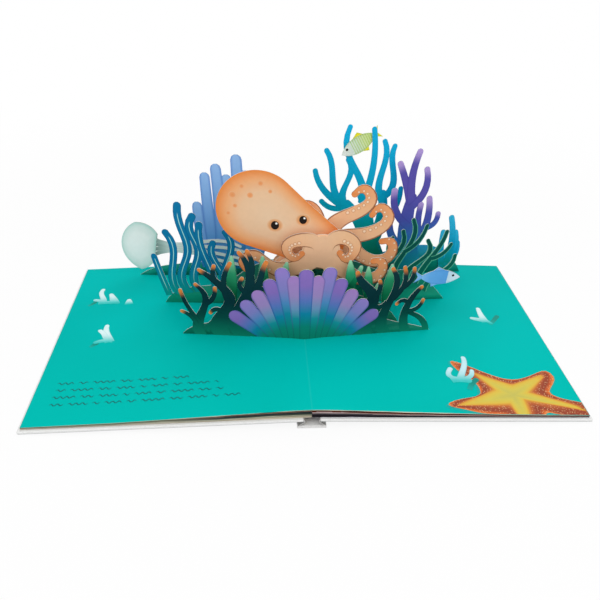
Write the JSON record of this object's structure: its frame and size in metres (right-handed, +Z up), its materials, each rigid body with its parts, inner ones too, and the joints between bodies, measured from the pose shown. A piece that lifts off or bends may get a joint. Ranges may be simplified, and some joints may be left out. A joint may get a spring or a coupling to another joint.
{
  "type": "pop-up book",
  "caption": "Hardcover book lying open at a spread, with a card coral reef standing up from its pages.",
  "frame": {"origin": "on the table under the gutter, at the middle of the book's depth", "axes": "+Z up from the table, +X across the right-hand page, +Y from the reader towards the far edge"},
  "size_m": [0.4552, 0.255, 0.1804],
  "materials": {
    "cover_board": "satin",
    "spine_card": "satin",
    "lining_paper": "matte",
    "page_card": "satin",
    "front_reef_card": "satin",
    "sprout_card": "satin",
    "octopus_card": "satin",
    "middle_reef_card": "satin",
    "purple_coral_card": "satin",
    "blue_coral_card": "satin",
    "rear_reef_card": "satin",
    "stalk_card": "satin",
    "jellyfish_card": "satin",
    "striped_fish_card": "satin",
    "blue_fish_card": "satin",
    "strut_card": "matte"
  },
  "bodies": {
    "back": {"back_cover": "cover_board", "right_pages": "page_card", "front_reef": "front_reef_card", "sprouts": "sprout_card", "octopus_front_arms": "octopus_card", "octopus_mantle": "octopus_card", "octopus_rear_arms": "octopus_card", "middle_reef": "middle_reef_card", "purple_coral": "purple_coral_card", "blue_coral": "blue_coral_card", "rear_reef": "rear_reef_card", "stalk_tuft": "stalk_card", "jellyfish": "jellyfish_card", "striped_fish": "striped_fish_card", "blue_fish": "blue_fish_card", "left_figure_strut": "strut_card", "right_figure_strut": "strut_card", "left_rear_strut": "strut_card", "right_rear_strut": "strut_card"},
    "front": {"front_cover": "cover_board", "left_pages": "page_card"},
    "spine": {"spine_board": "spine_card", "front_hinge_paper": "lining_paper", "back_hinge_paper": "lining_paper"}
  },
  "joints": [
    {"name": "book_fold", "type": "hinge", "parent": "back", "child": "front", "pos_m": [0, 0, 0.017], "axis": [0, 1, 0], "range_deg": [0, 183.3], "deforming": ["front_reef", "sprouts", "octopus_front_arms", "octopus_mantle", "octopus_rear_arms", "middle_reef", "purple_coral", "blue_coral", "rear_reef", "stalk_tuft", "jellyfish", "striped_fish", "blue_fish", "left_figure_strut", "right_figure_strut", "left_rear_strut", "right_rear_strut"]},
    {"name": "spine_fold", "type": "hinge", "parent": "back", "child": "spine", "pos_m": [0.00675, 0, 0.01025], "axis": [0, 1, 0], "range_deg": [0, 91.7], "deforming": ["front_hinge_paper", "back_hinge_paper"]}
  ],
  "couplings": [
    {"joint": "spine_fold", "follows": "book_fold", "ratio": 0.5}
  ]
}
